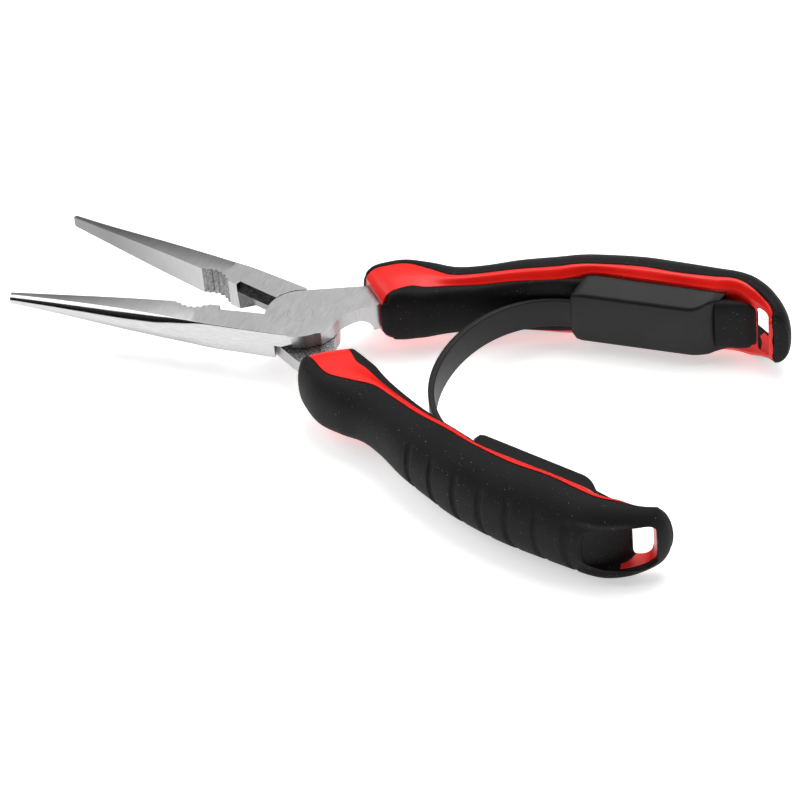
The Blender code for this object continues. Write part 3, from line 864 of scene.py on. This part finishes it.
def window_rows(before):
    """Rows from the scoop's last one to the window's rear wall, with round corners there."""
    rear_outer, rear_floor = (Vector(point) for point in WINDOW_REAR)
    before_outer, before_floor, _ = before
    length = (rear_floor - before_floor).length
    rows = []
    for step in range(WINDOW_CORNER_STEPS + 1):
        angle = math.pi / 2 * step / WINDOW_CORNER_STEPS
        share = 1 - WINDOW_CORNER * (1 - math.sin(angle)) / length
        outer = before_outer.lerp(rear_outer, share)
        floor = before_floor.lerp(rear_floor, share)
        rows.append((outer, floor, WINDOW_HALF - WINDOW_CORNER * (1 - math.cos(angle))))
    return rows


def window_ring(row, side):
    """A U-shaped section from the upper outer edge over the floor to the lower outer edge."""
    outer, floor, half = row
    depth = (floor - outer).length
    corner = min(SCOOP_CORNER, half * 0.6)
    heading = (floor - outer) / depth
    profile = [(0.0, half)]
    profile += arc((depth - corner, half - corner), corner, 90.0, 0.0, SCOOP_CORNER_STEPS)
    profile += [(away, -height) for away, height in profile[::-1]]
    return [(outer.x + heading.x * away, side * (outer.y + heading.y * away), height)
            for away, height in profile]


def window_tool(side, lining, material):
    """The scoop and window; its ramp is the lining and its other walls are the material."""
    rows = scoop_rows()
    ramp_rings = len(rows) - 1
    rings = [window_ring(row, side) for row in rows + window_rows(rows[-1])]
    lower_wall = len(rings[0]) - 2

    def slot_of(ring, index):
        on_ramp = ring < ramp_rings and 0 < index < lower_wall
        return 1 if on_ramp or ring < BLACK_WALL_RINGS else 0

    return loft("window_tool", rings, [material, lining], slot_of)


def pad_ring(row, side):
    """A pillow on the core's inner face."""
    seat = row[5] + PAD_SEAT_GAP
    seat_half = min(row[6] - PAD_SIDE_GAP, PAD_HALF)
    face = row[7]
    section = [(seat, -seat_half), (seat, seat_half)]
    for step in range(1, 2 * PAD_STEPS):
        angle = math.pi / 2 - math.pi / 2 * step / PAD_STEPS
        away = max(math.cos(angle), 0.0) ** PAD_POWER
        up = math.copysign(abs(math.sin(angle)) ** PAD_POWER, math.sin(angle))
        section.append((seat + (face - seat) * away, seat_half * up))
    return ring_at(row, section, side)


def inner_pad(label, side, material):
    rings = [pad_ring(row, side) for row in station_rows(last=PAD_END)]
    rings.insert(0, [(x - PAD_LEAD, y, z) for x, y, z in rings[0]])
    rings = rounded_ends(rings, PAD_END_RADIUS, steps=6, ends=(True, False))
    pad = loft(f"{label}_pad", rings, [material])
    smooth(pad, 50)
    place(pad, side)
    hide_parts(f"{label}_inner_pad")


def block_ring(t, side):
    """The block's section at a share of its length: smaller towards the window."""
    x = BLOCK_START + (BLOCK_END - BLOCK_START) * t
    shrink = math.sqrt(max(1 - smooth_step(0.35, 1.15, t) ** 2, 0.05))
    outer = BLOCK_OUTER_Y - BLOCK_OUTER_DRIFT * t * t
    inner = BLOCK_INNER_Y + BLOCK_INNER_DRIFT * t + (outer - BLOCK_INNER_Y) * (1 - shrink) * 0.6
    half = BLOCK_HALF * (0.72 + 0.28 * shrink)
    ring = []
    for corner in range(BLOCK_CORNERS):
        angle = 2 * math.pi * corner / BLOCK_CORNERS
        across = math.copysign(abs(math.cos(angle)) ** BLOCK_POWER, math.cos(angle))
        up = math.copysign(abs(math.sin(angle)) ** BLOCK_POWER, math.sin(angle))
        y = (outer + inner) / 2 + (outer - inner) / 2 * across
        ring.append((x, side * y, BLOCK_RISE + half * up))
    return ring


def stop_block(label, side, material):
    """A pillow-shaped block: flat where it meets the clip, rounded towards the window."""
    rings = [block_ring(step / BLOCK_STEPS, side) for step in range(BLOCK_STEPS + 1)]
    rings = rounded_ends(rings, BLOCK_END_RADIUS, steps=6, ends=(False, True))
    block = loft(f"{label}_block", rings, [material])
    smooth(block, 50)
    place(block, side)
    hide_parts(f"{label}_stop_block")


# Clips and leaf

def clip_face(x):
    """The Y of the clip's inner face, closed."""
    return CLIP_FACE_Y + CLIP_SLOPE * (x - CLIP_START)


def clip_section(face, face_half, flap, flap_half, corner):
    """Half hexagon with rounded corners, from the upper flap edge to the lower one."""
    turn = Vector((face, face_half))
    slope = Vector((flap - face, flap_half - face_half)).normalized()
    start = turn + slope * corner
    end = Vector((face, face_half - corner))
    upper = [(flap, flap_half)]
    for step in range(CLIP_CORNER_STEPS + 1):
        t = step / CLIP_CORNER_STEPS
        point = start * (1 - t) ** 2 + turn * 2 * t * (1 - t) + end * t * t
        upper.append((point.x, point.y))
    lower = [(y, -z) for y, z in upper[::-1]]
    return upper + lower


def clip_ring(t, side):
    """The cap's section at a share of its length; its inner face rolls back at both ends."""
    x = CLIP_START + (CLIP_END - CLIP_START) * t
    roll_front = (1 - smooth_step(0.0, 0.05, t)) * CLIP_FRONT_ROLL
    roll_rear = smooth_step(0.80, 1.03, t) ** 1.3 * CLIP_REAR_ROLL
    face = clip_face(x) + roll_front + roll_rear
    flap = clip_face(x) + CLIP_FLAP_DEPTH
    narrow = CLIP_FRONT_NARROWING * (1 - smooth_step(-0.01, 0.055, t)) ** 1.5
    narrow += CLIP_REAR_NARROWING * smooth_step(0.93, 1.0, t)
    face_half = CLIP_FACE_HALF - narrow + CLIP_REAR_WIDENING * roll_rear
    flap_half = CLIP_FLAP_HALF - narrow * 0.5
    sweep = CLIP_FRONT_SWEEP * (1 - t) ** 6 + CLIP_REAR_SWEEP * t ** 6
    ring = []
    for y, z in clip_section(face, face_half, flap, flap_half, CLIP_CORNER):
        share = min(max((y - face) / (flap - face), 0.0), 1.0)
        ring.append((x + sweep * share, side * y, z - CLIP_DROP))
    return ring


def clip_hollow_ring(x, side):
    """The hollow's section, inside the cap's walls and open past its flaps."""
    face = clip_face(x) + CLIP_WALL
    flap = clip_face(x) + CLIP_FLAP_DEPTH + BEYOND
    face_half = CLIP_FACE_HALF - CLIP_HOLLOW_FACE_INSET
    flap_half = CLIP_FLAP_HALF - CLIP_HOLLOW_FLAP_INSET
    section = clip_section(face, face_half, flap, flap_half, CLIP_HOLLOW_CORNER)
    return [(x, side * y, z - CLIP_DROP) for y, z in section]


def spring_clip(label, side, material):
    """A cap that is open in front, where the leaf comes out, and towards the core."""
    rings = [clip_ring(step / CLIP_STEPS, side) for step in range(CLIP_STEPS + 1)]
    clip = loft(f"{label}_clip", rings, [material])
    hollow_ends = (CLIP_START - BEYOND, CLIP_END - CLIP_BACK_LENGTH)
    hollow = [clip_hollow_ring(x, side) for x in hollow_ends]
    cut(clip, loft("clip_hollow", hollow, [material]))
    smooth(clip, 38)
    place(clip, side)
    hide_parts(f"{label}_spring_clip")


def leaf_line():
    """Half of the leaf's centre line, from its tail in the far clip to the apex, in the open pose."""
    recess = CLIP_WALL + LEAF_TAIL_GAP + LEAF_END_THICKNESS / 2
    tail = turned((LEAF_TAIL_X, clip_face(LEAF_TAIL_X) + recess), OPEN_TURN)
    mouth = turned((CLIP_START, clip_face(CLIP_START) + recess), OPEN_TURN)
    heading = (Vector(mouth) - Vector(tail)).normalized()
    apex = Vector((LEAF_APEX_X + LEAF_APEX_THICKNESS / 2, 0.0))
    control_a = Vector(mouth) + heading * LEAF_HANDLES[0]
    control_b = apex + Vector((0.0, LEAF_HANDLES[1]))
    points = [(Vector(tail), LEAF_END_THICKNESS)]
    for step in range(LEAF_STEPS + 1):
        t = step / LEAF_STEPS
        s = 1 - t
        spot = Vector(mouth) * s ** 3 + control_a * 3 * s * s * t + control_b * 3 * s * t * t + apex * t ** 3
        thickness = LEAF_END_THICKNESS + (LEAF_APEX_THICKNESS - LEAF_END_THICKNESS) * smooth_step(0, 1, t)
        points.append((spot, thickness))
    return points


def leaf_ring(spot, thickness, direction):
    """The leaf's section, a flat bar with round edges, across its line."""
    across = Vector((-direction.y, direction.x))
    away = thickness / 2 - LEAF_ROUND
    up = LEAF_HALF - LEAF_ROUND
    corners = ((away, up, 0.0), (-away, up, 90.0), (-away, -up, 180.0), (away, -up, 270.0))
    ring = []
    for x, z, start in corners:
        for px, pz in arc((x, z), LEAF_ROUND, start, start + 90.0, LEAF_ROUND_STEPS):
            ring.append((spot.x + across.x * px, spot.y + across.y * px, pz + JOINT_HALF - LEAF_DROP))
    return ring


def return_leaf(material):
    """One flat spring from clip to clip, drawn in the open pose and blended between the two sides."""
    half = leaf_line()
    line = half + [(Vector((spot.x, -spot.y)), thickness) for spot, thickness in half[-2::-1]]
    rings = []
    for index, (spot, thickness) in enumerate(line):
        before = line[max(index - 1, 0)][0]
        after = line[min(index + 1, len(line) - 1)][0]
        rings.append(leaf_ring(spot, thickness, (after - before).normalized()))
    leaf = loft("return_spring_leaf", rings, [material])
    smooth(leaf, 50)
    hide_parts("return_leaf")
    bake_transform(leaf)


# Stage

CAMERA_AZIMUTH = 29.5
CAMERA_ELEVATION = 41.2
CAMERA_ROLL = -5.7
CAMERA_DISTANCE = 0.939
CAMERA_TARGET = (0.0357, -0.0168, 0.00395)
CAMERA_LENS = 172.0
FLOOR_RADIUS = 900.0
FLOOR_THICKNESS = 5.0
FLOOR_GLOW = 0.55
SKY = ((0.0, 0.06), (0.25, 0.14), (0.60, 0.66), (0.95, 0.80))    # height of a direction, brightness
LIGHT_AIM = (0.02, 0.0, 0.0)
LIGHTS = (               # name, place, aim, size, power
    ("key", (0.06, 0.26, 0.77), LIGHT_AIM, (0.58, 0.48), 3.9),
    ("fill", (0.7, 0.35, 0.6), LIGHT_AIM, (0.6, 0.5), 1.0),
    ("jaw_streak", (-0.49, -0.16, 0.53), (-0.05, 0.0, 0.0), (0.62, 0.46), 1.9),
)


def camera():
    """Looks at the target from its azimuth and elevation, rolled about the line of sight."""
    azimuth = math.radians(CAMERA_AZIMUTH)
    elevation = math.radians(CAMERA_ELEVATION)
    roll = math.radians(CAMERA_ROLL)
    back = Vector((
        math.sin(azimuth) * math.cos(elevation),
        -math.cos(azimuth) * math.cos(elevation),
        math.sin(elevation),
    ))
    right = Vector((math.cos(azimuth), math.sin(azimuth), 0.0))
    up = back.cross(right)
    turned_right = right * math.cos(roll) + up * math.sin(roll)
    turned_up = up * math.cos(roll) - right * math.sin(roll)
    place_at = Vector(CAMERA_TARGET) + back * CAMERA_DISTANCE
    matrix = Matrix((turned_right, turned_up, back)).transposed().to_4x4()
    matrix.translation = place_at
    data = bpy.data.cameras.new("camera")
    data.lens = CAMERA_LENS
    data.sensor_width = 36.0
    data.clip_start = 0.01
    item = add_object("camera", data)
    item.matrix_world = matrix
    bpy.context.scene.camera = item


def floor():
    """A pale round floor that glows a little, so that its shadows stay soft."""
    nodes = Nodes("pale_floor")
    cloud = nodes.noise(nodes.place(), 0.01, 2.0)
    colour = nodes.mix(nodes.spread(cloud, 0.0, 1.0), (0.90, 0.90, 0.90), (0.92, 0.92, 0.92))
    nodes.link(colour, nodes.shader.inputs["Base Color"])
    nodes.shader.inputs["Roughness"].default_value = 0.9
    nodes.shader.inputs["Emission Color"].default_value = (1.0, 1.0, 1.0, 1.0)
    nodes.shader.inputs["Emission Strength"].default_value = FLOOR_GLOW
    item = plate("floor", circle(FLOOR_RADIUS, 60), -FLOOR_THICKNESS, 0.0, nodes.material)
    item.location = (0.04, 0.0, FLOOR_Z)


def area_light(name, place_at, aim, size, power):
    data = bpy.data.lights.new(name, "AREA")
    data.shape = "RECTANGLE"
    data.size = size[0]
    data.size_y = size[1]
    data.energy = power
    item = add_object(name, data)
    item.location = place_at
    item.rotation_euler = (Vector(aim) - Vector(place_at)).to_track_quat("-Z", "Y").to_euler()


def world():
    """Bright overhead, dim near the horizon, and dark on the side of the main view."""
    sky = bpy.data.worlds.new("studio")
    sky.use_nodes = True
    tree = sky.node_tree
    coordinates = tree.nodes.new("ShaderNodeTexCoord")
    split = tree.nodes.new("ShaderNodeSeparateXYZ")
    ramp = tree.nodes.new("ShaderNodeValToRGB")
    tree.links.new(coordinates.outputs["Generated"], split.inputs[0])
    tree.links.new(split.outputs["Z"], ramp.inputs["Fac"])
    elements = ramp.color_ramp.elements
    while len(elements) < len(SKY):
        elements.new(0.5)
    for element, (position, value) in zip(elements, SKY):
        element.position = position
        element.color = (value, value, value, 1.0)
    facing = tree.nodes.new("ShaderNodeVectorMath")
    facing.operation = "DOT_PRODUCT"
    azimuth = math.radians(CAMERA_AZIMUTH)
    facing.inputs[1].default_value = (math.sin(azimuth), -math.cos(azimuth), 0.0)
    tree.links.new(coordinates.outputs["Generated"], facing.inputs[0])
    shade = tree.nodes.new("ShaderNodeMapRange")
    shade.interpolation_type = "SMOOTHSTEP"
    shade.inputs["From Min"].default_value = -0.15
    shade.inputs["From Max"].default_value = 0.28
    shade.inputs["To Min"].default_value = 1.0
    shade.inputs["To Max"].default_value = 0.08
    tree.links.new(facing.outputs["Value"], shade.inputs["Value"])
    background = tree.nodes["Background"]
    tree.links.new(ramp.outputs["Color"], background.inputs["Color"])
    tree.links.new(shade.outputs["Result"], background.inputs["Strength"])
    bpy.context.scene.world = sky


def main():
    steel = {
        "satin": satin_steel(),
        "polished": polished_steel(),
        "cutter": scratched_steel("cutter_steel", 0.20, 0.33, (0.25, 1.0, 0.6)),
        # the pipe grip's teeth: real scratches and oil, on a base darkened below the steel's own tone as
        # painted shade for their valleys
        "broached": scratched_steel("broached_steel", 0.34, 0.30, (0.7, 0.7, 0.35)),
        "lap": scratched_steel("lap_steel", 0.62, 0.26, (0.6, 0.6, 0.6)),
    }
    red = red_plastic()
    soft = soft_black()
    clip_black = satin_black("clip_nylon", 0.35)
    leaf_black = satin_black("leaf_nylon", 0.0)
    for label, side in SIDES.items():
        steel_half(label, side, steel)
        handle_core(label, side, red, soft)
        outer_grip(label, side, soft)
        inner_pad(label, side, soft)
        stop_block(label, side, soft)
        spring_clip(label, side, clip_black)
    return_leaf(leaf_black)
    rivet = frame["nodes"]["pivot_rivet"]
    rivet.material_slots[0].material = steel["satin"]
    camera()
    floor()
    world()
    for light in LIGHTS:
        area_light(*light)
    bpy.context.scene.view_settings.view_transform = "Standard"


main()
